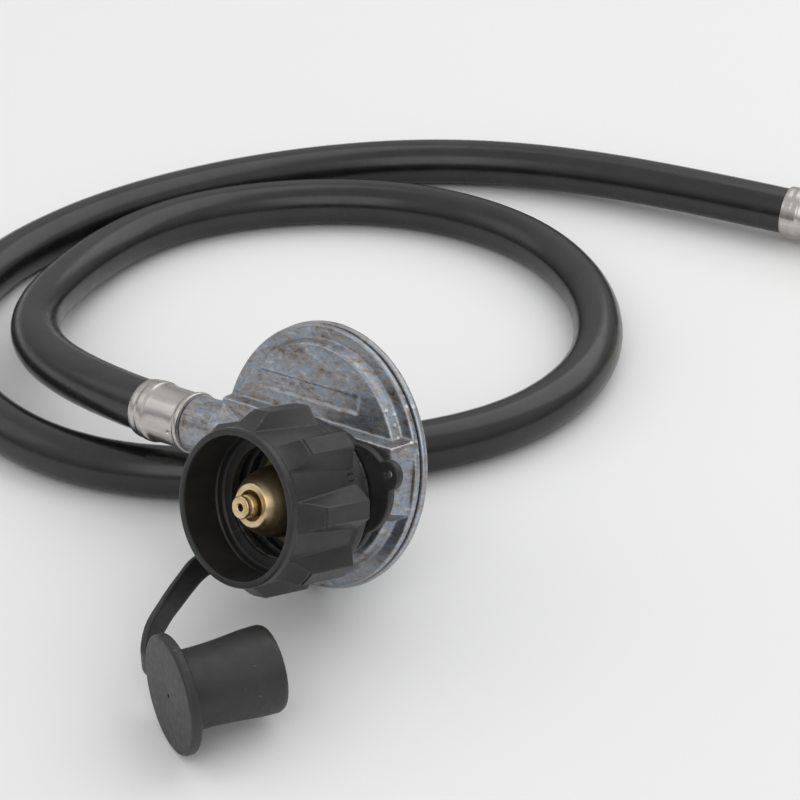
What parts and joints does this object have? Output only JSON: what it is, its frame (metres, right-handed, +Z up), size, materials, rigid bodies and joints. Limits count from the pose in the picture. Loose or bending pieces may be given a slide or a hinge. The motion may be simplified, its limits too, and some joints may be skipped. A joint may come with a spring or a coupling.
{
  "type": "propane regulator hose",
  "caption": "Single-stage gas regulator with a ribbed hand nut, bullet nipple, tethered dust cap and a looped rubber hose ending in a flare swivel nut.",
  "frame": {"origin": "middle of the base of the regulator and its dust cap, on the floor they rest on; the hose and its far fitting are left out of that middle", "axes": "+Z up from the floor; the cylinder nut points towards -Y and 17.5 degrees up, the outlet towards -X"},
  "size_m": [0.2316, 0.3282, 0.066],
  "materials": {
    "zinc": "as-cast zinc alloy with a mottled passivated surface",
    "black_nylon": "moulded black nylon, fine satin grain",
    "cap_rubber": "soft matte black rubber",
    "brass": "bright turned brass",
    "plated_steel": "zinc-plated steel, pressed",
    "spring_steel": "drawn wire",
    "seal_rubber": "nitrile rubber",
    "hose_rubber": "smooth black hose cover with soft highlights"
  },
  "bodies": {
    "regulator": {"lower_body": "zinc", "bonnet": "zinc", "diaphragm_membrane": "seal_rubber", "vent_screen": "spring_steel", "bonnet_cap": "black_nylon", "main_spring": "spring_steel", "lever_pin": "plated_steel", "inlet_nipple": "brass", "orifice_seat": "brass", "inlet_filter": "spring_steel", "flow_spring": "spring_steel", "inlet_probe": "brass", "outlet_barb": "brass", "regulator_ferrule": "plated_steel", "hose_cover": "hose_rubber", "hose_liner": "hose_rubber", "far_ferrule": "plated_steel", "flare_stem": "brass"},
    "hand_nut": {"hand_nut": "black_nylon", "thermal_bushing": "black_nylon"},
    "flow_poppet": {"flow_poppet": "brass"},
    "diaphragm": {"diaphragm_plate": "plated_steel", "diaphragm_stem": "brass"},
    "lever": {"lever_arm": "plated_steel", "seat_pad": "seal_rubber"},
    "adjuster": {"adjusting_screw": "black_nylon"},
    "tether": {"tether": "cap_rubber", "dust_cap": "cap_rubber"},
    "flare_nut": {"flare_nut": "brass"}
  },
  "joints": [
    {"name": "nut_spin", "type": "hinge", "parent": "regulator", "child": "hand_nut", "pos_m": [0.01841, 0.00042, 0.03839], "axis": [0, -0.9537, 0.3007], "continuous": true},
    {"name": "poppet_slide", "type": "slide", "parent": "regulator", "child": "flow_poppet", "axis": [0, -0.9537, 0.3007], "range_m": [0, 0.002], "stiffness_N_per_m": 60, "springref_m": -0.003, "deforming": ["flow_spring"]},
    {"name": "diaphragm_slide", "type": "slide", "parent": "regulator", "child": "diaphragm", "axis": [0, 0.9537, -0.3007], "range_m": [0, 0.0016], "stiffness_N_per_m": 150, "springref_m": -0.004, "deforming": ["main_spring"]},
    {"name": "lever_turn", "type": "hinge", "parent": "regulator", "child": "lever", "pos_m": [0.01361, 0.02487, 0.03212], "axis": [-0.275, -0.2891, -0.917], "range_deg": [0, 12]},
    {"name": "adjuster_turn", "type": "hinge", "parent": "regulator", "child": "adjuster", "pos_m": [0.00616, 0.04287, 0.02868], "axis": [0, 0.9537, -0.3007], "range_deg": [-360, 360]},
    {"name": "tether_swing", "type": "hinge", "parent": "regulator", "child": "tether", "pos_m": [0.01841, 0.01701, 0.03316], "axis": [0, -0.9537, 0.3007], "continuous": true},
    {"name": "flare_spin", "type": "hinge", "parent": "regulator", "child": "flare_nut", "pos_m": [0.00954, 0.26113, 0.00954], "axis": [0.9511, 0.309, 0], "continuous": true}
  ],
  "couplings": [
    {"joint": "lever_turn", "follows": "diaphragm_slide", "rad_per_m": 130.01}
  ]
}
